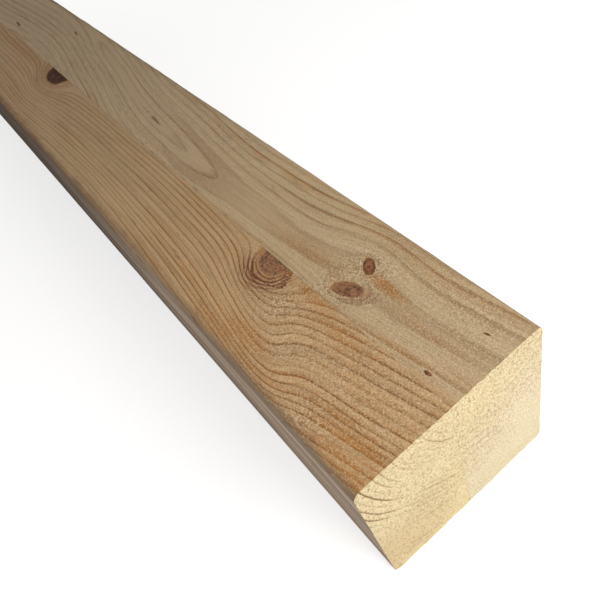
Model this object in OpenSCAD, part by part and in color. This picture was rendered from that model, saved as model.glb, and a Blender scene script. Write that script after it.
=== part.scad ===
// A planed square bar of softwood, glued side by side from two lamellas.
// It lies flat, with its length along X and its cut end, the one that shows, at +X.

/* [Bar] */
// Length that the bar is cut to for sale
bar_length = 2000; // [300:50:6000]
// Height of the bar, which both lamellas share
bar_height = 50; // [20:1:120]

/* [Lamellas] */
// Thickness of the lamella on the left, looking at the +X end
left_thickness = 25; // [8:0.5:60]
// Thickness of the lamella on the right, looking at the +X end
right_thickness = 25; // [8:0.5:60]

/* [Arrises] */
// Radius of the two upper long edges, eased after planing
upper_arris_radius = 1.5; // [0.5:0.1:3]
// Radius of the two lower long edges
lower_arris_radius = 1.5; // [0.5:0.1:3]

/* [Hidden] */
$fn = 48;

// The bar is centred on the X axis, so the glue joint sits at this Y
bar_width = left_thickness + right_thickness;
joint_y = left_thickness - bar_width / 2;

// Round corner of the section: its centre lies one radius in from the face and from the top or bottom
module arris(thickness, z, radius) {
    translate([thickness - radius, z])
        circle(r = radius);
}

// Section of one lamella: the glued face at Y = 0, the outer face at Y = thickness, the floor at Z = 0
module lamella_section(thickness) {
    // Flat bottom and flat top, up to where their round corners start
    square([thickness - lower_arris_radius, lower_arris_radius]);
    translate([0, bar_height - upper_arris_radius])
        square([thickness - upper_arris_radius, upper_arris_radius]);

    // Full thickness between the round corners
    translate([0, lower_arris_radius])
        square([thickness, bar_height - lower_arris_radius - upper_arris_radius]);

    arris(thickness, lower_arris_radius, lower_arris_radius);
    arris(thickness, bar_height - upper_arris_radius, upper_arris_radius);
}

// A section drawn in Y and Z, run along the whole length and sawn square at both ends
module run_along_bar() {
    translate([-bar_length / 2, 0, 0])
        rotate([90, 0, 90])
            linear_extrude(height = bar_length)
                children();
}

module left_lamella() {
    color([0.70, 0.56, 0.38])
        translate([0, joint_y, 0])
            run_along_bar()
                mirror([1, 0])
                    lamella_section(left_thickness);
}

module right_lamella() {
    color([0.74, 0.63, 0.46])
        translate([0, joint_y, 0])
            run_along_bar()
                lamella_section(right_thickness);
}

left_lamella();
right_lamella();
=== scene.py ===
"""A planed softwood bar glued side by side from two lamellas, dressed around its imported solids."""

import itertools
import math
from collections import namedtuple

import bpy
import numpy as np
from bpy.props import FloatProperty, FloatVectorProperty, PointerProperty
from mathutils import Matrix, Vector


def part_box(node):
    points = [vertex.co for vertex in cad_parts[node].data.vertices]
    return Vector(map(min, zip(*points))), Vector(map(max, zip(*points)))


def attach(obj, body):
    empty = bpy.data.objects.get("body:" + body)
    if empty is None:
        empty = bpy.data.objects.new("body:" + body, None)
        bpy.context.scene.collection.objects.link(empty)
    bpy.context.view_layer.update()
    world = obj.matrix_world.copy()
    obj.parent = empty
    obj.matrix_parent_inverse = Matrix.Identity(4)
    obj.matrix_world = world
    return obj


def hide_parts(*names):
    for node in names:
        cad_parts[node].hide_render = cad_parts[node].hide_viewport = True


bl_info = {
    "name": "Glued softwood bar",
    "version": (1, 0, 0),
    "blender": (4, 5, 0),
    "location": "3D View > Sidebar > Softwood bar",
    "description": "Makes the two lamellas of a planed, glued softwood bar and a plain studio round them",
    "category": "Object",
}

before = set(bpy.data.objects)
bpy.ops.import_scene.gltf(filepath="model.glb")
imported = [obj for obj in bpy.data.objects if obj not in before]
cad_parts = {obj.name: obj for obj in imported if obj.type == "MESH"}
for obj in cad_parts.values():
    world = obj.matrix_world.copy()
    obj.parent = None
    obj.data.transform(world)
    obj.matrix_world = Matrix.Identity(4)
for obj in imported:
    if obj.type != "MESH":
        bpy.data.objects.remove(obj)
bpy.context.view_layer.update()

MM = 0.001

# A point that is nearer to a plane than this lies on it
TOUCHING = 0.01 * MM

# The bar as packed: its two ends, its top, the plane of the glue joint and a lamella's thickness
LEFT_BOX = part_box("left_lamella")
RIGHT_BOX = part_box("right_lamella")
NEAR_END = LEFT_BOX[1].x
FAR_END = LEFT_BOX[0].x
TOP = LEFT_BOX[1].z
JOINT_Y = LEFT_BOX[1].y
LAMELLA = JOINT_Y - LEFT_BOX[0].y


def packed_arris_radius(node):
    """Radius of a lamella's eased edge: how far its flat top stops short of its outer face."""
    points = np.array([vertex.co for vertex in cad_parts[node].data.vertices])
    flat_top = points[points[:, 2] > TOP - TOUCHING]
    reach = np.abs(points[:, 1] - JOINT_Y).max()
    return float(reach - np.abs(flat_top[:, 1] - JOINT_Y).max())


# In the descriptions of the wood below, places are in millimetres: x back from the near end,
# y across from the glue joint and z up from the floor.

# A knot: where its branch meets the top face, its half axes along and across the grain, the turn of
# its long axis, how far round it the grain is pushed aside, how much longer the grain takes to close
# again towards the near end, how far the rings swell out round it, how far the grain is torn round
# it, how pale its face is torn, or below nothing how dark it is, and the strength and direction of
# the red-brown collar of fine rings beside it
Knot = namedtuple("Knot", "x y along across turn push trail swell tear pale collar collar_turn")

# A dip carries the growth rings aside for a stretch: its middle, its half lengths away from and
# towards the near end, its half width, how far it carries them, and how its middle shifts along
# the bar for each millimetre across
Dip = namedtuple("Dip", "x y far_half near_half half_width shift skew")

# A patch is a torn or stained place: its middle, half length, half width and strength
Patch = namedtuple("Patch", "x y half_length half_width strength")

# What a lamella was sawn from: the path of the pith beside it as (x, y, z), the width of a year's
# ring along it as (x, width), the share of a year at the pith, how clearly its rings show, the
# stretch of brown wood round the pith as (middle, half length, strength), what disturbs its grain,
# the numbers that decide which years stand out in planed and in sawn wood, and the one that decides
# how the grain wavers
Wood = namedtuple("Wood", "pith widths first_year clearness heart knots dips torn stains luck seed")

LEFT_WOOD = Wood(
    pith=(
        (0, 14.5, 54.8), (-12, 11.8, 55.8), (-30, 8.2, 55.0), (-48, 5.8, 54.0), (-65, 5.2, 54.0),
        (-110, 5.0, 54.0), (-190, 3.5, 55.0), (-330, 3.0, 58.0), (-620, 5.0, 60.0),
        (-980, 2.0, 64.0), (-1400, 6.0, 60.0), (-2000, 3.0, 63.0),
    ),
    widths=(
        (0, 1.76), (-12, 1.75), (-30, 1.64), (-60, 1.5), (-110, 1.34), (-250, 1.3), (-600, 1.6),
        (-2000, 1.8),
    ),
    first_year=0.3,
    clearness=(0.75, 1.0),
    heart=(-260.0, 40.0, 0.0),
    knots=(
        Knot(-57.4, 0.3, 4.95, 5.3, 0, 1.15, 2.3, 0.1, 0.4, 0.55, 1.0, -80),
        Knot(-204.3, 0.4, 8.3, 6.4, 0, 1.1, 1.3, 0.5, 0.0, -0.8, 0.3, 180),
        Knot(-486, -15.0, 4.2, 3.0, 12, 1.2, 1.2, 0.8, 0.5, 0.2, 0.3, 90),
        Knot(-930, -8.0, 5.5, 3.6, -8, 1.2, 1.2, 0.8, 0.6, 0.1, 0.4, 0),
        Knot(-1415, -17.5, 3.4, 2.5, 18, 1.2, 1.2, 0.8, 0.4, 0.2, 0.3, -90),
        Knot(-1770, -10.5, 4.8, 3.4, -15, 1.2, 1.2, 0.8, 0.5, 0.0, 0.3, 180),
    ),
    dips=(Dip(-41.0, -16.0, 15.0, 11.0, 11.0, -5.0, -1.2),),
    torn=(
        Patch(-54.0, -3.5, 5.0, 4.0, 1.0), Patch(-46.0, -7.0, 7.0, 5.0, 0.9),
        Patch(-36.0, -12.5, 8.0, 5.0, 0.6), Patch(-18.5, -22.0, 5.5, 4.5, 0.8),
        Patch(-18.0, -8.0, 20.0, 8.0, 0.4),
    ),
    stains=(
        Patch(-42.0, -1.3, 8.0, 1.6, 1.0), Patch(-60.5, -0.6, 5.0, 1.2, 0.8),
        Patch(-30.0, -3.4, 11.0, 2.4, 0.8), Patch(-44.5, -17.8, 7.5, 1.8, 1.2),
        Patch(-51.0, -21.5, 12.0, 1.7, 1.0), Patch(-3.0, -22.5, 9.0, 2.2, 1.1),
        Patch(-6.0, -17.0, 14.0, 2.6, 0.75), Patch(-10.0, -9.0, 14.0, 3.0, 0.4),
        Patch(-245.0, -3.0, 28.0, 2.4, 1.0),
    ),
    luck=(0, 310),
    seed=11,
)

RIGHT_WOOD = Wood(
    pith=(
        (0, 12.2, 57.9), (-12, 10.8, 57.7), (-26, 9.1, 57.2), (-40, 8.7, 56.6), (-59, 7.5, 55.9),
        (-80, 6.7, 55.1), (-92, 6.3, 54.6), (-101, 6.2, 53.6), (-112, 6.7, 52.4), (-126, 7.8, 51.6),
        (-134, 8.3, 50.9), (-145, 9.3, 50.4), (-155, 10.6, 50.9), (-180, 15.4, 51.0),
        (-196, 18.0, 51.2), (-225, 23.0, 53.0), (-300, 24.0, 55.0), (-420, 18.0, 60.0),
        (-700, 14.0, 57.0), (-1050, 9.0, 63.0), (-1500, 13.0, 56.0), (-2000, 10.0, 62.0),
    ),
    widths=(
        (0, 3.05), (-20, 2.9), (-40, 2.6), (-59, 2.4), (-101, 2.3), (-134, 2.4), (-183, 2.25),
        (-225, 2.3), (-320, 3.0), (-600, 3.0), (-2000, 2.8),
    ),
    first_year=0.6,
    clearness=(0.8, 0.95),
    heart=(-107.0, 24.0, 0.85),
    knots=(
        Knot(-38.0, 12.75, 2.65, 1.5, -36, 1.25, 1.0, 0.5, 1.1, 0.1, 0.0, 0),
        Knot(-36.9, 5.35, 3.9, 2.05, 25, 1.25, 1.3, 1.0, 1.0, 0.42, 0.5, -20),
        Knot(-8.6, 2.25, 1.0, 0.42, 5, 1.3, 1.0, 0.2, 0.0, 0.0, 0.0, 0),
        Knot(-6.4, 16.4, 0.9, 0.25, 8, 1.3, 1.0, 0.2, 0.0, -0.5, 0.0, 0),
        Knot(-227.5, 17.5, 2.6, 0.4, -8, 1.2, 1.0, 0.2, 0.0, 0.2, 0.0, 0),
        Knot(-268.0, 4.8, 3.4, 0.5, -6, 1.2, 1.0, 0.2, 0.0, 0.2, 0.0, 0),
        Knot(-655, 16.5, 4.4, 2.8, 10, 1.2, 1.2, 0.8, 0.5, 0.0, 0.3, 90),
        Knot(-1140, 9.5, 3.6, 2.6, -20, 1.2, 1.2, 0.8, 0.5, 0.2, 0.3, 0),
        Knot(-1590, 18.0, 5.0, 3.2, 8, 1.2, 1.2, 0.8, 0.5, 0.1, 0.3, 200),
    ),
    dips=(Dip(-41.0, 18.0, 13.0, 14.0, 9.0, 2.4, 0.0),),
    torn=(
        Patch(-40.0, 8.5, 5.0, 6.0, 1.0), Patch(-34.5, 14.5, 4.0, 4.0, 0.8),
        Patch(-12.0, 17.0, 9.0, 6.0, 0.5),
    ),
    stains=(
        Patch(-31.5, 11.3, 5.5, 1.3, 1.3), Patch(-12.0, 8.6, 12.0, 1.0, 0.4),
        Patch(-10.0, 1.0, 17.0, 2.6, 0.5), Patch(-3.0, 5.8, 9.0, 1.4, 0.4),
        Patch(-40.2, 4.2, 1.6, 1.1, 1.0), Patch(-55.0, 6.0, 15.0, 2.4, 0.45),
        Patch(-30.0, 22.0, 26.0, 3.0, 0.35),
    ),
    luck=(44, 44),
    seed=29,
)


# Odd numbers that mix a cell's place and a seed into a random word
PLACE_FACTORS = (73856093, 19349663, 83492791)
SEED_FACTOR = 2654435761
MIXING_ROUNDS = ((15, 2246822519), (13, 3266489917))
WORD = 0xFFFFFFFF


def unit_noise(points, seed):
    """Smooth noise from -1 to 1: random values on a lattice of unit cells, blended between corners."""
    base = np.floor(points).astype(np.int64)
    part = points - base
    ease = part * part * (3.0 - 2.0 * part)
    total = np.zeros(len(points))
    for corner in itertools.product((0, 1), repeat=3):
        cell = (base + corner) * PLACE_FACTORS
        mixed = (cell[:, 0] ^ cell[:, 1] ^ cell[:, 2] ^ (seed * SEED_FACTOR)) & WORD
        for shift, factor in MIXING_ROUNDS:
            mixed = ((mixed ^ (mixed >> shift)) * factor) & WORD
        value = ((mixed >> 8) & 0xFFFF) / 32767.5 - 1.0
        weight = np.prod(np.where(np.array(corner, bool), ease, 1.0 - ease), axis=1)
        total += value * weight
    return total


def path_at(path, x):
    """The values of a path at each x, eased through its points."""
    rows = np.array(sorted(path), float)
    index = np.clip(np.searchsorted(rows[:, 0], x) - 1, 0, len(rows) - 2)
    start = rows[index]
    end = rows[index + 1]
    slopes = np.gradient(rows[:, 1:], rows[:, 0], axis=0)
    span = (end[:, 0] - start[:, 0])[:, None]
    share = np.clip((x[:, None] - start[:, :1]) / span, 0.0, 1.0)
    leaving = (2 * share**3 - 3 * share**2 + 1) * start[:, 1:]
    arriving = (3 * share**2 - 2 * share**3) * end[:, 1:]
    lean_out = (share**3 - 2 * share**2 + share) * span * slopes[index]
    lean_in = (share**3 - share**2) * span * slopes[index + 1]
    return leaving + arriving + lean_out + lean_in


def bell(value, middle=0.0, half=1.0):
    """1 in the middle of a disturbance, falling smoothly to nothing round it."""
    return np.exp(-(((value - middle) / half) ** 2))


def lumps(places, cell, seed, depth):
    """Relief from 0 to twice the depth, in lumps of about the size of a cell."""
    return depth + depth * unit_noise(places / cell, seed)


def smooth(value, low, high):
    """0 below low, 1 above high, eased between."""
    share = np.clip((value - low) / (high - low), 0.0, 1.0)
    return share * share * (3.0 - 2.0 * share)


# The rings wander aside slowly and quickly: over which lengths, how far and with which seed
WANDERS = (((55.0, 14.0, 14.0), 0.45, 0), ((17.0, 4.5, 4.5), 0.13, 5))

# How deep below the top face a dip and a patch still work
DIP_DEPTH = 30.0
PATCH_DEPTH = 10.0

# Round a knot, in shares of its half axes: where the rings swell, the grain is torn and the collar
# is reddest, each with how fast that falls off. The collar lies on one side and fades beside it.
SWELL_BAND = (0.9, 0.75)
TORN_BAND = (1.2, 0.9)
COLLAR_BAND = (1.35, 0.62)
COLLAR_GAIN = 1.6
COLLAR_GAP = 0.1

# How far off its place a knot's rim is, as a share, and over which length that changes
RIM_RIPPLE = 0.07
RIM_LENGTH = 2.6

# Some years are wider than others: over how many years that changes, and how far it shifts the count
YEAR_CHANGES = ((7.3, 0.45), (2.6, 0.18))

# Between which years brown heartwood starts, and between which it ends
HEART_STARTS = (1.8, 2.05)
HEART_ENDS = (2.7, 3.0)

# How far a branch may lean, the width of a knot's own rings and the share of a year in its middle
LEAN_LIMIT = 0.5
KNOT_RING = 1.1
KNOT_FIRST_YEAR = 0.5

# The length over which the looks of the near end fade, the radius at which the way round the pith
# is measured, and the reach of a point that is far from every knot
NEAR_LENGTH = 110.0
ROUND_RADIUS = 30.0
NO_KNOT = 9.0


class Grain:
    """Where the points of a lamella lie in the trunk that it was sawn from, in millimetres."""

    def __init__(self, points, wood):
        self.place = np.array(points, float) / MM - (NEAR_END / MM, JOINT_Y / MM, 0.0)
        self.wood = wood
        self.top = TOP / MM
        self.pith = path_at(wood.pith, self.place[:, 0])
        self.moved = self.place[:, 1:].copy()
        self.bulge = np.zeros(len(self.place))
        self.knot = np.full(len(self.place), NO_KNOT)
        self.knot_years = np.full(len(self.place), NO_KNOT)
        self.pale = np.zeros(len(self.place))
        self.collar = np.zeros(len(self.place))
        self.torn = self.patches(wood.torn)
        self.stain = self.patches(wood.stains)
        self.wander()
        for dip in wood.dips:
            self.carry_aside(dip)
        for knot in wood.knots:
            self.wrap_round(knot)
        self.count_rings()

    def wander(self):
        """The rings of a stem are never quite round or quite straight."""
        for lengths, reach, seed in WANDERS:
            for axis in (0, 1):
                self.moved[:, axis] += reach * unit_noise(self.place / lengths, self.wood.seed + seed + axis)

    def carry_aside(self, dip):
        across = self.place[:, 1] - dip.y
        along = self.place[:, 0] - dip.x - dip.skew * across
        half = np.where(along < 0.0, dip.far_half, dip.near_half)
        depth = bell(self.place[:, 2], self.top, DIP_DEPTH)
        self.moved[:, 0] -= dip.shift * bell(along, 0.0, half) * bell(across, 0.0, dip.half_width) * depth

    def wrap_round(self, knot):
        """The grain flows round a knot as water flows round a pier, and swells out along the branch."""
        pith = path_at(self.wood.pith, np.array([float(knot.x)]))[0]
        lean = np.clip((pith[0] - knot.y) / (pith[1] - self.top), -LEAN_LIMIT, LEAN_LIMIT)
        lengthwise = self.place[:, 0] - knot.x
        across = self.place[:, 1] - knot.y - lean * (self.place[:, 2] - self.top)
        turn = math.radians(knot.turn)
        long_way = math.cos(turn) * lengthwise + math.sin(turn) * across
        short_way = math.cos(turn) * across - math.sin(turn) * lengthwise
        reach = np.hypot(long_way / knot.along, short_way / knot.across)
        closing = np.where(lengthwise > 0.0, knot.trail, 1.0) * knot.push
        pushed = np.hypot(lengthwise / (knot.along * closing), across / (knot.across * knot.push))
        self.moved[:, 0] -= across / np.maximum(pushed, 1.0) ** 2
        self.bulge += knot.swell * knot.across * bell(reach, *SWELL_BAND)
        self.torn = np.maximum(self.torn, knot.tear * bell(reach, *TORN_BAND))
        side = np.cos(np.arctan2(across, lengthwise) - math.radians(knot.collar_turn))
        facing = np.clip(COLLAR_GAIN * side - COLLAR_GAP, 0.0, 1.0)
        collar = knot.collar * facing * bell(reach, *COLLAR_BAND)
        self.collar = np.maximum(self.collar, collar)
        reach = reach / (1.0 + RIM_RIPPLE * unit_noise(self.place / RIM_LENGTH, self.wood.seed + 9))
        nearer = reach < self.knot
        self.knot = np.where(nearer, reach, self.knot)
        knot_years = reach * knot.across / KNOT_RING + KNOT_FIRST_YEAR
        self.knot_years = np.where(nearer, knot_years, self.knot_years)
        self.pale = np.where(nearer, knot.pale, self.pale)

    def count_rings(self):
        """Rings counted out from the pith, some years wider than others, and the way round it."""
        offset = self.moved - self.pith
        radius = np.hypot(offset[:, 0], offset[:, 1]) - self.bulge
        years = radius / path_at(self.wood.widths, self.place[:, 0])[:, 0] + self.wood.first_year
        zero = np.zeros(len(years))
        for span, share in YEAR_CHANGES:
            places = np.stack([years / span, zero, zero], axis=1)
            years = years + share * unit_noise(places, self.wood.seed + 3)
        self.years = years
        turn = np.arctan2(offset[:, 0], -offset[:, 1])
        self.fibre = np.stack([self.place[:, 0], radius, turn * ROUND_RADIUS], axis=1)
        self.near = bell(self.place[:, 0], 0.0, NEAR_LENGTH)
        away, beside = self.wood.clearness
        self.clear = away + (beside - away) * self.near
        middle, half, strength = self.wood.heart
        brown = smooth(years, *HEART_STARTS) * (1.0 - smooth(years, *HEART_ENDS))
        self.heart = strength * brown * bell(self.place[:, 0], middle, half)

    def patches(self, patches):
        """How strongly a set of torn or stained patches works at each point."""
        total = np.zeros(len(self.place))
        depth = bell(self.place[:, 2], self.top, PATCH_DEPTH)
        for patch in patches:
            along = (self.place[:, 0] - patch.x) / patch.half_length
            across = (self.place[:, 1] - patch.y) / patch.half_width
            total = np.maximum(total, patch.strength * bell(np.hypot(along, across)) * depth)
        return total


def graded(start, end, details, finest, coarsest, growth):
    """Places from start to end, finest apart at each detail and coarsest apart well away from them."""
    places = [start]
    while places[-1] < end:
        away = min(abs(places[-1] - detail) for detail in details)
        places.append(places[-1] + min(coarsest, finest + growth * away))
    spread = (np.array(places) - start) * (end - start) / (places[-1] - start)
    return start + spread


# The bake map lays each lamella out in strips: the near stretch, which has the finest grain, and the
# rest of the bar folded in three; above them the glue face and the two sawn ends
NEAR_STRETCH = 310 * MM
FOLDS = 3
MAP_MARGIN = 0.008
MAP_WIDTH = 0.984
FOLD_SLACK = 6 * MM

# The mesh: sections are drawn finest apart at the knots, and so are the lines of each section at
# its thin knots. Each is the finest and the coarsest distance, and how fast one grows to the other.
SECTION_STEPS = (0.5 * MM, 6.0 * MM, 0.055)
LINE_STEPS = {-1: (0.35 * MM, 0.8 * MM, 0.08), 1: (0.35 * MM, 0.8 * MM, 0.25)}

# The half width below which a knot is thin, and where lines are finest apart if no knot is. Then
# the lines in an eased corner, as shares of its radius, and how many stand between two corners.
THIN_KNOT = 1.0
NO_THIN_KNOT = 4.5 * MM
CORNER_LINES = np.array([0.35, 0.7, 1.0])
UPRIGHT_LINES = 40

# Relief in millimetres: half the depth of the planer's hollows and of the wear along the edges, the
# depth of bites out of the edges, and half that of the fine and coarse roughness of the sawn ends,
# each with the size of its lumps. The planer's hollows run on from one lamella to the other.
PLANER_SEED = 20
PLANER_HOLLOWS = 0.03
PLANER_LUMPS = (11.0, 6.0, 6.0)
EDGE_WEAR = 0.16
WEAR_LUMPS = (5.0, 9.0, 9.0)
EDGE_BITES = 0.3
BITE_LUMPS = (2.6, 4.0, 4.0)
BITE_LEVEL = 0.35
SAWN_FINE = 0.09
FINE_LUMPS = 0.9
SAWN_COARSE = 0.05
COARSE_LUMPS = 3.0


class Lamella:
    """The mesh of one lamella: sections drawn along the bar, with a fine grid over each sawn end."""

    GLUE_STEP = 7
    MEASURES = "years knot knot_years pale collar torn stain heart clear near".split()

    def __init__(self, side, wood):
        box = LEFT_BOX if side < 0 else RIGHT_BOX
        node = "left_lamella" if side < 0 else "right_lamella"
        self.side = side
        self.wood = wood
        self.radius = packed_arris_radius(node)
        self.thickness = box[1].y - box[0].y
        self.depths, self.heights = self.section_lines()
        self.stations = self.section_places()
        self.loop = self.loop_round_section()

    def section_places(self):
        marks = [NEAR_END + knot.x * MM for knot in self.wood.knots] + [NEAR_END, FAR_END]
        return graded(FAR_END, NEAR_END, marks, *SECTION_STEPS)

    def section_lines(self):
        """Grid lines across and up the section, closer together in its eased corners."""
        corner = self.radius * CORNER_LINES
        thin_knots = [abs(knot.y) * MM for knot in self.wood.knots if knot.across < THIN_KNOT]
        flat = self.thickness - self.radius
        inner = graded(0.0, flat, thin_knots or [NO_THIN_KNOT], *LINE_STEPS[self.side])
        depths = np.concatenate([inner, flat + corner])
        upright = np.linspace(self.radius, TOP - self.radius, UPRIGHT_LINES)
        heights = np.concatenate([self.radius - corner[::-1], upright, TOP - self.radius + corner])
        return depths, heights

    def loop_round_section(self):
        """The grid points on the section's edge, in order, fewer of them on the hidden glue face."""
        last_row = len(self.depths) - 1
        last_column = len(self.heights) - 1
        top = [(row, last_column) for row in range(last_row + 1)]
        outer = [(last_row, column) for column in range(last_column - 1, 0, -1)]
        bottom = [(row, 0) for row in range(last_row, -1, -1)]
        glue = [(0, column) for column in range(self.GLUE_STEP, last_column, self.GLUE_STEP)]
        return np.array(top + outer + bottom + glue)

    def eased(self, depth, height, along):
        """Rounds a square grid's corners, wears its edges and hollows its planed faces a little."""
        radius = self.radius
        out = np.clip((depth - (self.thickness - radius)) / radius, 0.0, 1.0)
        rise = np.clip((np.abs(height - TOP / 2.0) - (TOP / 2.0 - radius)) / radius, 0.0, 1.0)
        over = np.sign(height - TOP / 2.0)
        round_out = out * np.sqrt(1.0 - rise**2 / 2.0)
        round_rise = rise * np.sqrt(1.0 - out**2 / 2.0)
        depth = np.where(out > 0.0, self.thickness - radius + radius * round_out, depth)
        height = np.where(rise > 0.0, TOP / 2.0 + over * (TOP / 2.0 - radius + radius * round_rise), height)
        spots = np.stack([along, depth, height], axis=1) / MM
        seed = self.wood.seed
        face = np.stack([along, self.side * depth, height], axis=1) / MM
        planed = lumps(face, PLANER_LUMPS, PLANER_SEED, PLANER_HOLLOWS)
        worn = lumps(spots, WEAR_LUMPS, seed + 21, EDGE_WEAR)
        worn += EDGE_BITES * np.clip(unit_noise(spots / BITE_LUMPS, seed + 22) - BITE_LEVEL, 0.0, 1.0)
        edge = np.minimum(out, rise) * 2.0
        hollow = (planed + worn * np.clip(edge, 0.0, 1.0)) * MM
        depth = depth - hollow * np.where(out >= 1.0, 1.0, round_out)
        height = height - hollow * over * np.where(rise >= 1.0, 1.0, round_rise)
        return depth, height

    def points(self):
        """All points of the mesh: first the sections' edges, then the grids of the two sawn ends."""
        rows, columns = self.loop[:, 0], self.loop[:, 1]
        inner_stations = self.stations[1:-1]
        count = len(inner_stations)
        depth = np.tile(self.depths[rows], count)
        height = np.tile(self.heights[columns], count)
        along = np.repeat(inner_stations, len(self.loop))
        grid_depth, grid_height = np.meshgrid(self.depths, self.heights, indexing="ij")
        cap = grid_depth.size
        for end in (self.stations[0], self.stations[-1]):
            depth = np.concatenate([depth, grid_depth.ravel()])
            height = np.concatenate([height, grid_height.ravel()])
            along = np.concatenate([along, np.full(cap, end)])
        flat = np.stack([along, JOINT_Y + self.side * depth, height], axis=1)
        depth, height = self.eased(depth, height, along)
        spots = np.stack([along, depth, height], axis=1) / MM
        ragged = lumps(spots, FINE_LUMPS, self.wood.seed + 30, SAWN_FINE)
        ragged += lumps(spots, COARSE_LUMPS, self.wood.seed + 31, SAWN_COARSE)
        inward = np.where(along >= NEAR_END, -ragged, np.where(along <= FAR_END, ragged, 0.0)) * MM
        made = np.stack([along + inward, JOINT_Y + self.side * depth, height], axis=1)
        return flat, made

    def faces(self):
        """Quads along the bar and over the ends, and the material of each: planed 0, sawn 1."""
        size = len(self.loop)
        count = len(self.stations) - 2
        columns = len(self.heights)
        cap = len(self.depths) * columns
        far_cap = count * size
        near_cap = far_cap + cap
        cap_loop = self.loop[:, 0] * columns + self.loop[:, 1]
        rings = [cap_loop + far_cap]
        rings += [np.arange(size) + station * size for station in range(count)]
        rings += [cap_loop + near_cap]
        faces = []
        kinds = []
        for back, front in zip(rings[:-1], rings[1:]):
            on_glue = self.loop[:, 0] == 0
            for one in range(size):
                two = (one + 1) % size
                face = [back[one], back[two], front[two], front[one]]
                if on_glue[one] and on_glue[two] and (back is rings[0] or front is rings[-1]):
                    face = self.glue_face(back, front, one, two, far_cap, near_cap, back is rings[0])
                faces.append(face[::-1])
                kinds.append(0)
        for start, flip in ((far_cap, True), (near_cap, False)):
            for row in range(len(self.depths) - 1):
                for column in range(columns - 1):
                    corner = start + row * columns + column
                    face = [corner, corner + columns, corner + columns + 1, corner + 1]
                    faces.append(face[::-1] if flip else face)
                    kinds.append(1)
        if self.side > 0:
            return faces, kinds
        return [list(face)[::-1] for face in faces], kinds

    def glue_face(self, back, front, one, two, far_cap, near_cap, at_far_end):
        """A face of the glue joint beside a sawn end, which takes in every grid point between."""
        low = self.loop[one][1]
        high = self.loop[two][1]
        step = 1 if high > low else -1
        between = list(range(low + step, high, step))
        if at_far_end:
            extra = [far_cap + column for column in between]
            return [back[one]] + extra + [back[two], front[two], front[one]]
        extra = [near_cap + column for column in reversed(between)]
        return [back[one], back[two], front[two]] + extra + [front[one]]

    def bake_strips(self):
        """Where each strip starts along the bar, and how far up the map it starts and its scale."""
        girth = 2.0 * self.thickness + TOP
        fold = (NEAR_END - NEAR_STRETCH - FAR_END) / FOLDS
        scale = MAP_WIDTH / (fold + 2.0 * FOLD_SLACK)
        strips = []
        up = MAP_MARGIN
        for place in range(FOLDS):
            strips.append((FAR_END + place * fold, up, scale))
            up += girth * scale + MAP_MARGIN
        scale = MAP_WIDTH / (NEAR_STRETCH + 2.0 * FOLD_SLACK)
        strips.append((NEAR_END - NEAR_STRETCH, up, scale))
        return strips, up + girth * scale + MAP_MARGIN

    def bake_places(self, flat, corner_point, corner_face, face_size):
        """The place on the bake map of every corner of every face."""
        strips, above = self.bake_strips()
        along = flat[:, 0]
        depth = np.abs(flat[:, 1] - JOINT_Y)
        height = flat[:, 2]
        girth = self.thickness + TOP - height
        girth = np.where(height > TOP - TOUCHING, depth, girth)
        girth = np.where(height < TOUCHING, 2.0 * self.thickness + TOP - depth, girth)
        middle = np.zeros((len(face_size), 3))
        for axis, values in enumerate((along, depth, height)):
            middle[:, axis] = np.bincount(corner_face, values[corner_point]) / face_size
        starts = np.array([strip[0] for strip in strips])
        strip = np.clip(np.searchsorted(starts, middle[:, 0]) - 1, 0, len(strips) - 1)
        start, up, scale = np.array(strips)[strip[corner_face]].T
        across_map = MAP_MARGIN + (along[corner_point] - start + FOLD_SLACK) * scale
        up_map = up + girth[corner_point] * scale
        tall = 1.0 - above - MAP_MARGIN
        end_scale = tall / self.thickness
        glue = (middle[:, 1] < TOUCHING)[corner_face]
        glue_width = 1.0 - 4.0 * MAP_MARGIN - 2.0 * TOP * end_scale
        glue_share = (along[corner_point] - FAR_END) / (NEAR_END - FAR_END)
        across_map = np.where(glue, MAP_MARGIN + glue_share * glue_width, across_map)
        up_map = np.where(glue, above + height[corner_point] / TOP * tall, up_map)
        for place, end in enumerate((FAR_END, NEAR_END)):
            sawn = (np.abs(middle[:, 0] - end) < TOUCHING)[corner_face]
            left = 2.0 * MAP_MARGIN + glue_width + place * (TOP * end_scale + MAP_MARGIN)
            across_map = np.where(sawn, left + height[corner_point] * end_scale, across_map)
            up_map = np.where(sawn, above + depth[corner_point] * end_scale, up_map)
        return np.stack([across_map, up_map], axis=1)

    def mesh(self, name):
        flat, made = self.points()
        faces, kinds = self.faces()
        mesh = bpy.data.meshes.new(name)
        mesh.from_pydata(made.tolist(), [], [[int(index) for index in face] for face in faces])
        mesh.polygons.foreach_set("material_index", kinds)
        mesh.polygons.foreach_set("use_smooth", [True] * len(faces))
        self.sharpen(mesh)
        face_size = np.array([len(face) for face in faces])
        corner_point = np.concatenate([np.array(face) for face in faces])
        corner_face = np.repeat(np.arange(len(faces)), face_size)
        places = self.bake_places(flat, corner_point, corner_face, face_size)
        layer = mesh.uv_layers.new(name="OFBake")
        layer.uv.foreach_set("vector", places.astype(np.float32).ravel())
        grain = Grain(flat, self.wood)
        for key in self.MEASURES:
            store = mesh.attributes.new(key, "FLOAT", "POINT")
            store.data.foreach_set("value", getattr(grain, key).astype(np.float32))
        store = mesh.attributes.new("fibre", "FLOAT_VECTOR", "POINT")
        store.data.foreach_set("vector", grain.fibre.astype(np.float32).ravel())
        mesh.update()
        return mesh

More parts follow.
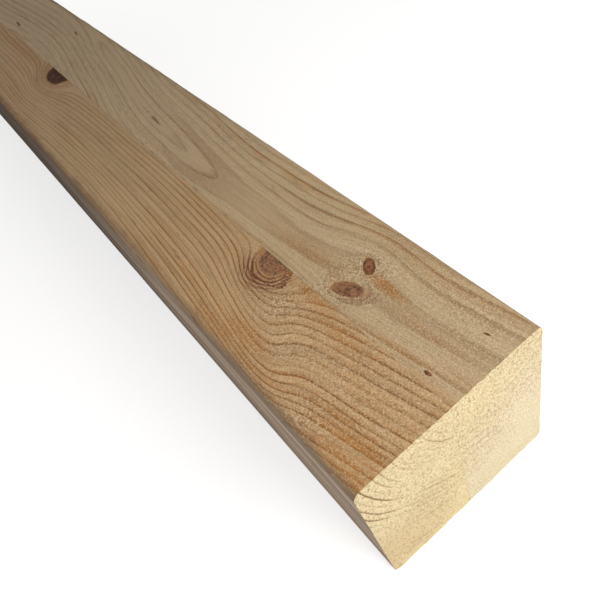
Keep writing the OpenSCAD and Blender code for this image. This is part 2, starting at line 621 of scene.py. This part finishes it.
    def sharpen(self, mesh):
        """Keeps the sawn ends and the glue joint crisp where smooth faces meet at a corner."""
        count = len(self.stations) - 2
        rows, columns = np.indices((len(self.depths), len(self.heights)))
        upright_edge = np.isin(columns, (0, columns.max()))
        cap_rim = upright_edge | np.isin(rows, (0, rows.max()))
        cap_corner = upright_edge & (rows == 0)
        section_corner = cap_corner[self.loop[:, 0], self.loop[:, 1]]
        corner = np.concatenate([np.tile(section_corner, count), cap_corner.ravel(), cap_corner.ravel()])
        rim = np.concatenate([np.zeros(count * len(self.loop), bool), cap_rim.ravel(), cap_rim.ravel()])
        ends = np.empty(len(mesh.edges) * 2, np.int32)
        mesh.edges.foreach_get("vertices", ends)
        ends = ends.reshape(-1, 2)
        sharp = corner[ends].all(axis=1) | rim[ends].all(axis=1)
        store = mesh.attributes.new("sharp_edge", "BOOLEAN", "EDGE")
        store.data.foreach_set("value", sharp)


class Value:
    """What one output of a node gives, with the usual signs for sums and products of it."""

    def __init__(self, sheet, socket):
        self.sheet = sheet
        self.socket = socket

    def __add__(self, other):
        return self.sheet.maths("ADD", self, other)

    def __sub__(self, other):
        return self.sheet.maths("SUBTRACT", self, other)

    def __rsub__(self, other):
        return self.sheet.maths("SUBTRACT", other, self)

    def __mul__(self, other):
        return self.sheet.maths("MULTIPLY", self, other)

    def __abs__(self):
        return self.sheet.maths("ABSOLUTE", self)

    def most(self, other):
        """The larger of the two."""
        return self.sheet.maths("MAXIMUM", self, other)

    def least(self, other):
        """The smaller of the two."""
        return self.sheet.maths("MINIMUM", self, other)

    def axis(self, index):
        """One of the three numbers of a place or a direction."""
        return self.sheet.value("ShaderNodeSeparateXYZ", index, {0: self})

    def spread(self, low, high, start=0.0, end=1.0):
        """Values from low to high become start to end, eased at both."""
        inputs = {0: self, 1: low, 2: high, 3: start, 4: end}
        return self.sheet.value("ShaderNodeMapRange", 0, inputs, interpolation_type="SMOOTHSTEP")

    def noise(self, changes, detail=2.0, roughness=0.55):
        """Noise from 0 to 1 at a place, which changes so many times in a unit along each axis."""
        stretched = self.sheet.value("ShaderNodeVectorMath", 0, {0: self, 1: changes}, operation="MULTIPLY")
        inputs = {"Vector": stretched, "Scale": 1.0, "Detail": detail, "Roughness": roughness}
        return self.sheet.value("ShaderNodeTexNoise", "Fac", inputs)

    def grains(self, changes, detail=2.0, roughness=0.55):
        """Even noise, turned so that its lattice lies along none of the bar's faces."""
        inputs = {"Vector": self, "Rotation": (0.6, 0.45, 0.8)}
        turned = self.sheet.value("ShaderNodeVectorRotate", 0, inputs, rotation_type="EULER_XYZ")
        return turned.noise((changes, changes, changes), detail, roughness)


class Sheet:
    """A sheet of nodes, laid out by short calls."""

    def __init__(self, owner):
        owner.use_nodes = True
        self.tree = owner.node_tree
        self.tree.nodes.clear()

    def node(self, kind, inputs=(), **settings):
        """Adds a node, sets its options, and links or sets its input sockets."""
        node = self.tree.nodes.new(kind)
        for key, value in settings.items():
            setattr(node, key, value)
        for socket, value in dict(inputs).items():
            if isinstance(value, Value):
                self.tree.links.new(value.socket, node.inputs[socket])
            else:
                node.inputs[socket].default_value = value
        return node

    def value(self, kind, output, inputs=(), **settings):
        """Adds a node and gives one of its outputs."""
        return Value(self, self.node(kind, inputs, **settings).outputs[output])

    def maths(self, operation, *values):
        return self.value("ShaderNodeMath", 0, dict(enumerate(values)), operation=operation)

    def stored(self, name, output="Fac"):
        """What the mesh keeps at each of its points."""
        return self.value("ShaderNodeAttribute", output, attribute_name=name)

    def blend(self, share, first, second, kind="MIX"):
        inputs = {0: share, 6: first, 7: second}
        return self.value("ShaderNodeMix", 2, inputs, data_type="RGBA", blend_type=kind)

    def lit(self, colour, light):
        """A colour made lighter and darker by a value round 1."""
        grey = self.value("ShaderNodeCombineColor", 0, {0: light, 1: light, 2: light})
        return self.blend(1.0, colour, grey, "MULTIPLY")


BLACK = (0.0, 0.0, 0.0)


def shade(colour, factor=1.0):
    """A colour made darker or lighter, with the fourth value that a node's input wants."""
    return tuple(channel * factor for channel in colour[:3]) + (1.0,)


# How often the noises of planed wood change in a millimetre along the fibre, out from the pith and
# round it
THREADS = (0.06, 3.2, 3.2)
STRANDS = (0.02, 1.15, 1.15)
STREAKS = (0.01, 0.42, 0.42)
CLOUDS = (0.03, 0.16, 0.16)
HAIRS = (0.008, 0.75, 0.75)
FLECKS = (0.22, 4.0, 4.0)
PITH_FLECKS = (0.13, 0.9, 0.0)

# How often the noises that are bound to the bar change in a metre
MOTTLE = 1500
PATCHES = 480
FUZZ = 2400
TUFTS = 1300
WORN_SHADED_RIM = 160
SIDE_LINES = (8, 300, 300)
GLUE_DASHES = (260, 900, 900)
SAWN_GRAINS = 2700
SAWN_DOTS = 1800
SAWN_CELLS = 1120.0
SAWN_CLOUDS = (70, 70, 70)

# In a ring, as shares of a year: where its warm half starts and is warmest, where its dark line
# starts and is darkest, and where both fall off towards the next year
WARM_HALF = (0.2, 0.95)
DARK_LINE = (0.62, 0.92)
FALL_OFF = (0.94, 1.0)

# How far fibres shift a ring's line, in years, on planed and on sawn wood
PLANED_WAVER = 0.22
SAWN_WAVER = 0.05

WOOD_GLOSS = 0.25

# The side faces: the stretch over which their painted light at the near end turns to painted shade
# behind it, and the one beyond it over which they come back to the plain tone of the rest
PAINTED_SIDE_SHADE = (NEAR_END - 0.22, NEAR_END - 0.02)
PLAIN = (NEAR_END - 0.62, NEAR_END - 0.34)


class WoodFinish(Sheet):
    """What planed and sawn wood share: the growth rings, the knots and the shader."""

    def __init__(self, name, settings, looks):
        self.material = bpy.data.materials.get(name) or bpy.data.materials.new(name)
        super().__init__(self.material)
        self.settings = settings
        self.looks = looks
        self.place = self.value("ShaderNodeTexCoord", "Object")

    def lay(self, share, colour, factor=1.0):
        """Blends a colour over what is there, as strongly as share says."""
        self.colour = self.blend(share, self.colour, shade(colour, factor))

    def year_rings(self, fibres, waver, luck):
        """Works out the warm half of each ring, its thin dark line, and a random value for the year."""
        years = (fibres - 0.5) * waver + self.stored("years")
        share = self.maths("FRACT", years)
        year = self.maths("FLOOR", years) + float(luck)
        self.chance = self.value("ShaderNodeTexWhiteNoise", "Value", {"W": year}, noise_dimensions="1D")
        fall = share.spread(*FALL_OFF, 1.0, 0.0)
        self.warm = share.spread(*WARM_HALF) * fall
        self.line = share.spread(*DARK_LINE) * fall

    def knots(self):
        """Lays the knots over the wood. Their reach is 0 in the middle of a knot and 1 at its edge."""
        reach = self.stored("knot")
        mottle = self.place.grains(MOTTLE, 3.0, 0.7)
        patches = self.place.grains(PATCHES)
        wave = self.maths("SINE", patches * 2.2 + self.stored("knot_years") * math.tau)
        band = self.stored("collar") * wave.spread(-0.5, 0.8, 0.34, 1.05) * mottle.spread(0.3, 0.6, 0.7, 1.0)
        self.lay(band, self.settings.collar_colour)
        halo = reach.spread(1.0, 1.5, 0.4, 0.0) * patches.spread(0.35, 0.6)
        self.lay(halo, self.settings.stain_colour)
        face = self.knot_face(reach, mottle, patches, wave)
        inside = (mottle * 0.34 + reach).spread(1.04, 1.28, 1.0, 0.0)
        self.colour = self.blend(inside, self.colour, face)

    def knot_face(self, reach, mottle, patches, wave):
        """A knot's cut face: rings, dark middle, torn or resin-dark wood, and its rim."""
        knot = self.settings.knot_colour
        collar = self.settings.collar_colour
        pale = self.stored("pale")
        tone = wave * 0.05 + (mottle * 0.4 + patches * 0.6)
        face = self.blend(tone.spread(0.34, 0.66), shade(knot, 0.55), shade(knot, 1.75))
        middle = reach.spread(0.1, 0.35, 0.6, 0.0) * mottle.spread(0.4, 0.6)
        face = self.blend(middle, face, shade(knot, 0.35))
        fibres = self.blend(0.5, shade(self.settings.torn_fibre_and_highlight_colour, 0.72), shade(knot, 2.2))
        fluff = self.blend(mottle.spread(0.3, 0.75), face, fibres)
        face = self.blend(pale.most(0.0), face, fluff)
        dark = self.blend(patches.spread(0.3, 0.7), shade(collar, 0.14), shade(collar, 0.4))
        face = self.blend((pale * -1.0).most(0.0), face, dark)
        rim = reach.spread(0.66, 0.96) * patches.spread(0.35, 0.6, 0.1, 0.8) * pale.spread(0.0, 0.6, 1.0, 0.1)
        return self.blend(rim, face, shade(knot, 0.36))

    def done(self, roughness, relief):
        """Joins colour, roughness and relief in the shader, and returns the material."""
        depth = self.settings.relief_depth
        normal = self.value("ShaderNodeBump", 0, {"Height": relief, "Distance": depth, "Strength": 1.0})
        inputs = {"Base Color": self.colour, "Roughness": roughness, "Normal": normal}
        inputs["Specular IOR Level"] = WOOD_GLOSS
        shader = self.value("ShaderNodeBsdfPrincipled", 0, inputs)
        self.node("ShaderNodeOutputMaterial", {"Surface": shader})
        return self.material


class PlanedFinish(WoodFinish):
    """Planed long grain: growth rings, fibres, resin flecks, torn places and knots."""

    def __init__(self, name, settings, looks, luck):
        super().__init__(name, settings, looks)
        self.colour = shade(looks.early)
        self.fibre = self.stored("fibre", "Vector")
        self.threads = self.fibre.noise(THREADS, 3.0, 0.65)
        self.strands = self.fibre.noise(STRANDS, 2.0, 0.6)
        self.streaks = self.fibre.noise(STREAKS)
        self.clouds = self.fibre.noise(CLOUDS)
        self.clear = self.stored("clear")
        self.stain = self.stored("stain")
        self.near = self.stored("near")
        self.torn = self.stored("torn")
        self.year_rings(self.strands, PLANED_WAVER, luck)

    def rings(self):
        """Warm bands and dark lines, stronger in some years, and red lines in a knot's collar."""
        strong = self.chance.spread(0.0, 1.0, 0.3, 1.1) * self.clear
        strong = strong * self.clouds.spread(0.3, 0.7, 0.6, 1.25)
        strong = self.stain * 0.45 + strong
        self.lay(self.warm * strong * self.looks.warmth, self.settings.stain_colour)
        broken = self.strands.spread(0.32, 0.6, 0.42, 1.05)
        self.lay(self.line * strong * broken, self.looks.late)
        red = self.line * self.stored("collar")
        self.lay((red * 1.3).least(0.95), self.settings.collar_colour)

    def resin(self):
        """Resin in some years' wood, and stained patches."""
        resin = self.chance.spread(0.4, 0.9) * self.clouds.spread(0.45, 0.68) * self.clear
        resin = resin * 0.5 + self.stain * self.warm.spread(0.0, 0.8, 0.5, 1.0)
        resin = resin * self.strands.spread(0.3, 0.6, 0.55, 1.0)
        self.lay(resin.least(0.8), self.settings.stain_colour)

    def fibres(self):
        """Light and dark fibres and hair lines, paler in the first years round the pith."""
        light = self.threads.spread(0.25, 0.75, 0.9, 1.08) + self.strands.spread(0.3, 0.7, -0.07, 0.07)
        light = light + self.streaks.spread(0.3, 0.7, -0.06, 0.06)
        hairs = abs(self.fibre.noise(HAIRS, 1.0) - 0.5)
        hairs = hairs.spread(0.0, 0.035, self.looks.hairs, 0.0) * self.clouds.spread(0.35, 0.6, 0.3, 1.0)
        light = light - hairs + self.stored("years").spread(1.75, 2.05, 0.05, 0.0)
        self.colour = self.lit(self.colour, light)

    def heart(self):
        """The brown wood round the pith, the duller tone of the far stretch, partly aged wood and partly
        painted shade, and resin flecks.
        """
        brown = self.stored("heart") * self.threads.spread(0.3, 0.7, 0.55, 0.28)
        self.lay(brown, self.settings.knot_colour, 1.5)
        # Duller, darker tone away from the near end: partly aged wood, partly painted shade
        self.lay(self.near.spread(0.0, 0.9, 0.3, 0.0), self.settings.aged_and_shaded_colour)
        flecks = self.fibre.noise(FLECKS, 1.0).spread(0.67, 0.75, 0.0, 0.55)
        pith = self.fibre.axis(1).spread(0.25, 0.8, 0.9, 0.0)
        pith = pith * self.fibre.noise(PITH_FLECKS, 3.0, 0.7).spread(0.38, 0.56)
        self.lay(flecks.most(pith), self.looks.late, 0.4)

    def torn_fibres(self):
        """Fibres that the planer pulled up: pale grains on the raised fibres, partly their own tone and
        partly painted highlight, and dark grains in the hollows, painted shade. Returns their relief.
        """
        fuzz = self.place.grains(FUZZ, 2.0, 0.75)
        tufts = self.place.grains(TUFTS, 2.0, 0.7)
        rough = self.torn * 0.5 + self.near.spread(0.5, 1.0, 0.14, 0.44)
        # Pale grains where the fibres stand up: partly their own tone, partly painted highlight
        pulled_and_highlit = fuzz.spread(0.52, 0.64) * rough
        self.lay(pulled_and_highlit.most(tufts.spread(0.55, 0.63, 0.0, 0.65) * self.torn), self.settings.torn_fibre_and_highlight_colour)
        # Dark grains where the fuzz is lowest: painted shade in its hollows
        shaded_pits = fuzz.spread(0.34, 0.5, 0.7, 0.0) * rough
        self.lay(shaded_pits.most(tufts.spread(0.37, 0.45, 0.6, 0.0) * self.torn), self.looks.late, 1.1)
        return fuzz * (rough * 1.2 + 0.2)

    def shaded_weathered_sides(self):
        """Greys the outer side faces as weathering, with painted light at the cut end and painted shade,
        darker and browner, behind it.
        """
        grey = self.settings.weathered_and_shaded_colour
        along = self.place.axis(0)
        # Painted light on the side faces at the near end, painted shade behind it, then their plain tone
        back = along.spread(*PAINTED_SIDE_SHADE)
        rest = along.spread(*PLAIN, 1.0, 0.0)
        side = self.blend(back, shade(grey, 0.4), shade(grey, 1.9))
        side = self.blend(rest, side, shade(grey, 0.95))
        side = self.lit(side, self.place.noise(SIDE_LINES, 3.0, 0.7).spread(0.4, 0.6, 0.5, 1.5))
        self.worn_and_shaded_edges(back, rest)
        sideways = abs(self.value("ShaderNodeNewGeometry", "True Normal").axis(1))
        greyed = sideways.spread(0.5, 0.98) * self.streaks.spread(0.3, 0.7, 0.9, 0.6)
        self.colour = self.blend(greyed, self.colour, side)

    def worn_and_shaded_edges(self, back, rest):
        """A ragged dark rim on the top face along its outer edges, most of it on the left: partly wear and
        partly painted shade, darker behind the near end.
        """
        across = self.place.axis(1) - JOINT_Y
        inwards = self.place.grains(WORN_SHADED_RIM, 3.0, 0.6) * (-3.0 * MM) + (LAMELLA - abs(across))
        # The dark rim is partly wear and partly painted shade, and darkens back from the near end with the
        # painted shade of the sides
        worn = inwards.spread(-0.9 * MM, 1.6 * MM, 0.65, 0.0) * back.spread(0.0, 1.0, 1.0, 0.5)
        worn = worn * rest.spread(0.0, 1.0, 1.0, 0.3)
        worn = worn * across.spread(-0.2 * LAMELLA, 0.0, 1.0, 0.35)
        self.lay(worn, self.settings.knot_colour, 0.65)

    def glue_line(self):
        """The glue joint: a hairline, darker in short dashes."""
        away = abs(self.place.axis(1) - JOINT_Y)
        dashes = self.place.noise(GLUE_DASHES, 1.0).spread(0.54, 0.62, 0.15, 1.0)
        self.lay(away.spread(0.0, 0.3 * MM, 0.5, 0.0) * dashes, self.looks.late, 0.35)

    def made(self):
        """Lays one thing over the other and returns the material."""
        self.rings()
        self.resin()
        self.fibres()
        self.heart()
        relief = self.line * 0.4 + self.threads * 0.6 + self.torn_fibres()
        self.knots()
        self.shaded_weathered_sides()
        self.glue_line()
        return self.done(self.threads.spread(0.2, 0.8, 0.55, 0.75), relief)


class SawnFinish(WoodFinish):
    """Sawn end grain: fuzzy and pale, with the rings broken into dots and short dashes."""

    def __init__(self, name, settings, looks, luck):
        super().__init__(name, settings, looks)
        self.grain = self.place.grains(SAWN_GRAINS, 2.0, 0.7)
        self.dots = self.place.grains(SAWN_DOTS, 2.0, 0.6)
        self.clouds = self.place.noise(SAWN_CLOUDS)
        self.height = self.place.axis(2)
        self.outwards = JOINT_Y - self.place.axis(1)
        self.slope = self.place.axis(1) * -0.8 + self.height
        self.upper = self.slope.spread(-0.1 * TOP, 0.45 * TOP, 0.3, 1.0)
        self.year_rings(self.dots, SAWN_WAVER, luck)

    def ground(self):
        """The tone of the end: paler low down, with brown fuzz low in the left lamella."""
        low = self.slope.spread(0.2 * TOP, 0.75 * TOP, 1.0, 0.0)
        self.colour = self.blend(low, shade(self.settings.sawn_colour), shade(self.looks.sawn))
        self.lay(self.clouds.spread(0.35, 0.65, 0.0, 0.06), BLACK)
        low = self.height.spread(0.25 * TOP, 0.6 * TOP, 1.0, 0.0)
        low = low * self.height.spread(0.02 * TOP, 0.2 * TOP, 0.35, 1.0)
        fuzz = low * self.outwards.spread(0.1 * LAMELLA, 0.95 * LAMELLA)
        self.lay(fuzz * self.grain.spread(0.44, 0.58, 0.0, 0.65), self.settings.left_early)

    def rings(self):
        """Arcs of the rings: broken ones in the upper half, crisp ones in the upper left corner."""
        shows = self.clouds.spread(0.42, 0.62) * self.chance.spread(0.0, 1.0, 0.2, 1.0)
        shows = shows * self.upper * self.looks.end_rings
        crisp = self.outwards.spread(0.5 * LAMELLA, 0.8 * LAMELLA) * self.height.spread(0.5 * TOP, 0.68 * TOP)
        crisp = crisp * self.chance.spread(0.2, 0.8, 0.25, 1.25) * self.clouds.spread(0.3, 0.42, 0.3, 1.0)
        shows = shows.most(crisp) * self.dots.spread(0.36, 0.52, 0.3, 1.0)
        self.lay(self.line * shows, self.looks.late)

    def specks(self):
        """Orange specks and the open cells of resin. Returns both."""
        specks = self.dots.spread(0.5, 0.64, 0.0, 0.4) * self.upper
        self.lay(specks, self.settings.stain_colour)
        cells = self.node("ShaderNodeTexVoronoi", {"Vector": self.place, "Scale": SAWN_CELLS})
        lot = self.value("ShaderNodeSeparateColor", 0, {0: Value(self, cells.outputs["Color"])})
        holes = Value(self, cells.outputs["Distance"]).spread(0.12, 0.36, 0.75, 0.0) * self.upper
        holes = holes * lot.spread(0.3, 0.9)
        self.lay(holes, self.settings.speck_colour)
        return specks + holes

    def made(self):
        """Lays one thing over the other and returns the material."""
        self.ground()
        self.rings()
        hollows = self.specks()
        light = self.grain.spread(0.3, 0.7, -0.22, 0.2) * (self.upper * 0.4 + 0.6)
        self.colour = self.lit(self.colour, light + 0.99)
        self.knots()
        relief = self.grain * 0.5 + hollows * -0.5
        return self.done(self.grain.spread(0.2, 0.8, 0.7, 0.85), relief)


def clear(*names):
    """Removes objects that an earlier run of the same operator left."""
    for name in names:
        old = bpy.data.objects.get(name)
        if old is not None:
            bpy.data.objects.remove(old, do_unlink=True)


def add_object(name, data):
    thing = bpy.data.objects.new(name, data)
    bpy.context.scene.collection.objects.link(thing)
    return thing


# The looks of one lamella: its early wood, its late wood and its sawn end, how far the warm half of
# a ring turns to resin brown, how dark its hair lines are, and how strongly its rings show when sawn
Looks = namedtuple("Looks", "early late sawn warmth hairs end_rings")


def make_lamella(name, side, wood, settings, looks):
    """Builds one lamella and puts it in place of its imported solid."""
    clear(name)
    piece = add_object(name, Lamella(side, wood).mesh(name))
    planed_luck, sawn_luck = wood.luck
    piece.data.materials.append(PlanedFinish(name + "_planed", settings, looks, planed_luck).made())
    piece.data.materials.append(SawnFinish(name + "_sawn", settings, looks, sawn_luck).made())
    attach(piece, "root")
    return piece


def tint(name, description, colour):
    """A colour that the user can set."""
    return FloatVectorProperty(
        name=name, description=description, subtype="COLOR", default=colour, min=0.0, max=1.0,
    )


class WoodSettings(bpy.types.PropertyGroup):
    """Colours and relief of the timber."""

    left_early: tint(
        "Left early wood", "Pale wood between the rings of the left lamella", (0.64, 0.42, 0.215)
    )
    left_late: tint("Left late wood", "Dark line of each ring of the left lamella", (0.21, 0.09, 0.027))
    right_early: tint(
        "Right early wood", "Pale wood between the rings of the right lamella", (0.64, 0.475, 0.28)
    )
    right_late: tint("Right late wood", "Dark line of each ring of the right lamella", (0.25, 0.125, 0.048))
    left_sawn: tint("Left sawn end", "End grain low in the left lamella", (0.86, 0.72, 0.435))
    right_sawn: tint("Right sawn end", "End grain low in the right lamella", (0.845, 0.745, 0.515))
    sawn_colour: tint("Sawn ends", "End grain in the upper half of both lamellas", (0.81, 0.69, 0.43))
    stain_colour: tint("Resin brown", "Orange-brown bands of resinous wood", (0.49, 0.215, 0.055))
    knot_colour: tint("Knot", "Red-brown wood of the knots", (0.215, 0.088, 0.04))
    collar_colour: tint("Knot collar", "Red-brown rings beside a knot", (0.185, 0.055, 0.024))
    # The weathered grey of the side faces, which also carries their painted light and shade
    weathered_and_shaded_colour: tint("Weathered", "Grey-brown of the outer side faces", (0.30, 0.235, 0.18))
    # Duller tone away from the fresh end: partly aged wood, partly painted shade
    aged_and_shaded_colour: tint("Aged", "Duller tone of the planed faces away from the fresh end", (0.33, 0.265, 0.185))
    speck_colour: tint("Sawn specks", "Tan dots in the sawn ends", (0.34, 0.205, 0.07))
    # Pale torn fibres, partly their own tone and partly painted highlight
    torn_fibre_and_highlight_colour: tint("Torn fibres", "Pale fibres pulled up by the planer", (0.86, 0.68, 0.44))
    relief_depth: FloatProperty(
        name="Relief", description="Depth of the fibres and rings in the planed faces",
        subtype="DISTANCE", unit="LENGTH", default=0.00012, min=0.0, max=0.001,
    )


class StudioSettings(bpy.types.PropertyGroup):
    """Floor, lamps and camera."""

    floor_colour: tint("Floor", "Colour of the studio floor", (0.6, 0.6, 0.6))
    sky_strength: FloatProperty(
        name="Sky", description="Even light from all round", default=0.36, min=0.0, max=2.0,
    )
    key_power: FloatProperty(
        name="Key lamp", description="Soft lamp beyond the near end", unit="POWER", default=1.6, min=0.0,
    )
    fill_power: FloatProperty(
        name="Fill lamp", description="Soft lamp beyond the far end", unit="POWER", default=3.0, min=0.0,
    )
    side_power: FloatProperty(
        name="Side lamp", description="Weak low lamp beside the near end", unit="POWER", default=0.3, min=0.0,
    )
    lens: FloatProperty(
        name="Lens", description="Focal length of the camera in millimetres", default=38.25, min=10.0,
    )


class BAR_OT_left_lamella(bpy.types.Operator):
    """Make the knotty left lamella"""

    bl_idname = "softwood_bar.left_lamella"
    bl_label = "Left lamella"

    def execute(self, context):
        settings = context.scene.softwood_bar_wood
        looks = Looks(
            early=settings.left_early, late=settings.left_late, sawn=settings.left_sawn,
            warmth=0.4, hairs=0.14, end_rings=0.6,
        )
        piece = make_lamella("left_lamella_dressed", -1, LEFT_WOOD, settings, looks)
        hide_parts("left_lamella")
        return {"FINISHED"}


class BAR_OT_right_lamella(bpy.types.Operator):
    """Make the paler right lamella"""

    bl_idname = "softwood_bar.right_lamella"
    bl_label = "Right lamella"

    def execute(self, context):
        settings = context.scene.softwood_bar_wood
        looks = Looks(
            early=settings.right_early, late=settings.right_late, sawn=settings.right_sawn,
            warmth=0.22, hairs=0.23, end_rings=0.5,
        )
        piece = make_lamella("right_lamella_dressed", 1, RIGHT_WOOD, settings, looks)
        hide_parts("right_lamella")
        return {"FINISHED"}


# The camera stands over the near end, looks back along the bar and is turned about its view
CAMERA_PLACE = Vector((NEAR_END + 45.91 * MM, JOINT_Y - 33.01 * MM, 160.33 * MM))
CAMERA_AIM = Vector((NEAR_END - 43.13 * MM, JOINT_Y - 3.88 * MM, TOP))
CAMERA_ROLL = math.radians(-25.07)

# Half the floor's length, the colour of the key lamp, and how widely the lamp over the bar shines
FLOOR_HALF = 6.0
KEY_WARMTH = (1.0, 0.965, 0.91)
FILL_SPREAD = math.radians(70)


def aimed(place, aim, roll=0.0):
    """Matrix of a lamp or camera that stands at one place and looks at another."""
    turn = (aim - place).to_track_quat("-Z", "Y").to_matrix().to_4x4()
    return Matrix.Translation(place) @ turn @ Matrix.Rotation(roll, 4, "Z")


def soft_lamp(name, place, aim, length, width, power):
    clear(name)
    data = bpy.data.lights.new(name, "AREA")
    data.shape = "RECTANGLE"
    data.size = length
    data.size_y = width
    data.energy = power
    lamp = add_object(name, data)
    lamp.matrix_world = aimed(Vector(place), Vector(aim))
    return data


def floor_finish(colour):
    """Pale floor that shows white where the light is even and keeps the bar's shadow."""
    material = bpy.data.materials.get("studio_floor") or bpy.data.materials.new("studio_floor")
    sheet = Sheet(material)
    clouds = sheet.value("ShaderNodeTexCoord", "Object").noise((3.0, 3.0, 3.0))
    pale = sheet.blend(clouds.spread(0.3, 0.7, 0.98, 1.0), shade(BLACK), shade(colour))
    matt = sheet.value("ShaderNodeBsdfDiffuse", 0, {"Color": pale})
    lift = sheet.value("ShaderNodeLightPath", "Is Camera Ray") * 0.7
    glow = sheet.value("ShaderNodeEmission", 0, {"Strength": lift})
    both = sheet.value("ShaderNodeAddShader", 0, {0: matt, 1: glow})
    sheet.node("ShaderNodeOutputMaterial", {"Surface": both})
    return material


def white_world(strength):
    """Even white light, which the camera sees as plain white."""
    world = bpy.data.worlds.get("studio_white") or bpy.data.worlds.new("studio_white")
    sheet = Sheet(world)
    seen = sheet.value("ShaderNodeLightPath", "Is Camera Ray")
    level = sheet.value("ShaderNodeMapRange", 0, {0: seen, 3: strength, 4: 1.0})
    sky = sheet.value("ShaderNodeBackground", 0, {"Strength": level})
    sheet.node("ShaderNodeOutputWorld", {0: sky})
    bpy.context.scene.world = world


def studio_lamps(settings):
    """A warm key lamp beyond the near end, a low lamp beside it and a long one over the bar."""
    near = NEAR_END
    key = soft_lamp("key_lamp", (near + 0.30, 0.10, 0.27), (near, 0, 0.04), 0.22, 0.22, settings.key_power)
    key.color = KEY_WARMTH
    soft_lamp("side_lamp", (near - 0.05, -0.4, 0.02), (near - 0.05, 0, 0.02), 0.3, 0.03, settings.side_power)
    middle = (FAR_END + near) / 2.0 - 0.3
    fill = soft_lamp("fill_lamp", (middle, 0, 0.7), (middle, 0, 0), 1.3, 0.5, settings.fill_power)
    fill.spread = FILL_SPREAD


def studio_camera(lens):
    data = bpy.data.cameras.new("camera")
    data.lens = lens
    data.sensor_width = 36.0
    data.clip_start = 0.01
    camera = add_object("camera", data)
    camera.matrix_world = aimed(CAMERA_PLACE, CAMERA_AIM, CAMERA_ROLL)
    return camera


class BAR_OT_studio(bpy.types.Operator):
    """Make the floor, the lamps and the camera"""

    bl_idname = "softwood_bar.studio"
    bl_label = "Studio"

    def execute(self, context):
        settings = context.scene.softwood_bar_studio
        clear("studio_floor", "camera")
        mesh = bpy.data.meshes.new("studio_floor")
        corners = [(x * FLOOR_HALF, y * FLOOR_HALF, 0.0) for x, y in ((-1, -1), (1, -1), (1, 1), (-1, 1))]
        mesh.from_pydata(corners, [], [(0, 1, 2, 3)])
        floor = add_object("studio_floor", mesh)
        mesh.materials.append(floor_finish(settings.floor_colour))
        studio_lamps(settings)
        white_world(settings.sky_strength)
        context.scene.camera = studio_camera(settings.lens)
        context.scene.view_settings.view_transform = "Standard"
        return {"FINISHED"}


class BAR_PT_panel(bpy.types.Panel):
    """Lists what can be made and what can be set"""

    bl_idname = "BAR_PT_panel"
    bl_label = "Softwood bar"
    bl_space_type = "VIEW_3D"
    bl_region_type = "UI"
    bl_category = "Softwood bar"

    def draw(self, context):
        for operator in OPERATORS:
            self.layout.operator(operator.bl_idname)
        for group in (context.scene.softwood_bar_wood, context.scene.softwood_bar_studio):
            column = self.layout.column(align=True)
            for key in group.__annotations__:
                column.prop(group, key)


OPERATORS = (BAR_OT_left_lamella, BAR_OT_right_lamella, BAR_OT_studio)
CLASSES = (WoodSettings, StudioSettings) + OPERATORS + (BAR_PT_panel,)


def register():
    for kind in CLASSES:
        bpy.utils.register_class(kind)
    bpy.types.Scene.softwood_bar_wood = PointerProperty(type=WoodSettings)
    bpy.types.Scene.softwood_bar_studio = PointerProperty(type=StudioSettings)


def unregister():
    del bpy.types.Scene.softwood_bar_studio
    del bpy.types.Scene.softwood_bar_wood
    for kind in reversed(CLASSES):
        bpy.utils.unregister_class(kind)


def main():
    register()
    bpy.ops.softwood_bar.left_lamella()
    bpy.ops.softwood_bar.right_lamella()
    bpy.ops.softwood_bar.studio()
    bpy.context.view_layer.update()


if __name__ == "__main__":
    main()
